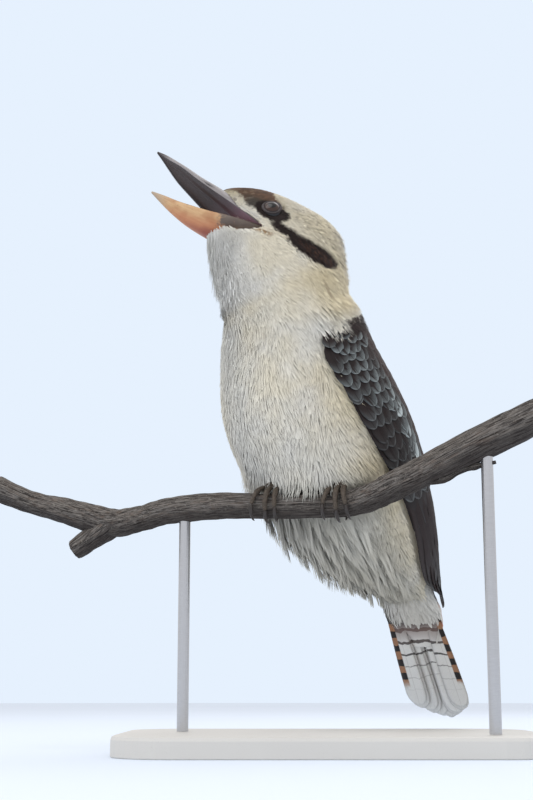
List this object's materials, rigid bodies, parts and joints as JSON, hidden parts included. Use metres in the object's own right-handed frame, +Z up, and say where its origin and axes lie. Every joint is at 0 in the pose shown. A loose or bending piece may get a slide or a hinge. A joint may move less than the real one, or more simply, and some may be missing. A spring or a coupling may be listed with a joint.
{
  "type": "laughing kookaburra model",
  "caption": "Life-size kookaburra calling with its bill open, perched on a cut length of dead branch over a flat display base with rods.",
  "frame": {"origin": "centre of the display base's underside, at floor level", "axes": "+Z up; the base's long side runs along X; the bird's breast faces -Y and -X, and its head is turned to -X"},
  "size_m": [0.3426, 0.2191, 0.3686],
  "materials": {
    "white_plumage": "matt",
    "brown_plumage": "matt",
    "tail_plumage": "matt",
    "upper_bill": "satin",
    "lower_bill": "satin",
    "eye": "polished",
    "foot_skin": "matt",
    "claw_horn": "satin",
    "bark": "weathered",
    "stand": "matt paint",
    "rod": "brushed"
  },
  "bodies": {
    "root": {"head": "white_plumage", "neck": "white_plumage", "torso": "white_plumage", "wing_left": "brown_plumage", "wing_right": "brown_plumage", "tail": "tail_plumage", "leg_left": "foot_skin", "leg_right": "foot_skin", "claw_left_1": "claw_horn", "claw_left_2": "claw_horn", "claw_left_3": "claw_horn", "claw_left_4": "claw_horn", "claw_right_1": "claw_horn", "claw_right_2": "claw_horn", "claw_right_3": "claw_horn", "claw_right_4": "claw_horn", "eye_left": "eye", "eye_right": "eye", "upper_bill": "upper_bill", "lower_bill": "lower_bill", "perch": "bark", "stand_base": "stand", "stand_rod_left": "rod", "stand_rod_right": "rod"}
  },
  "joints": []
}
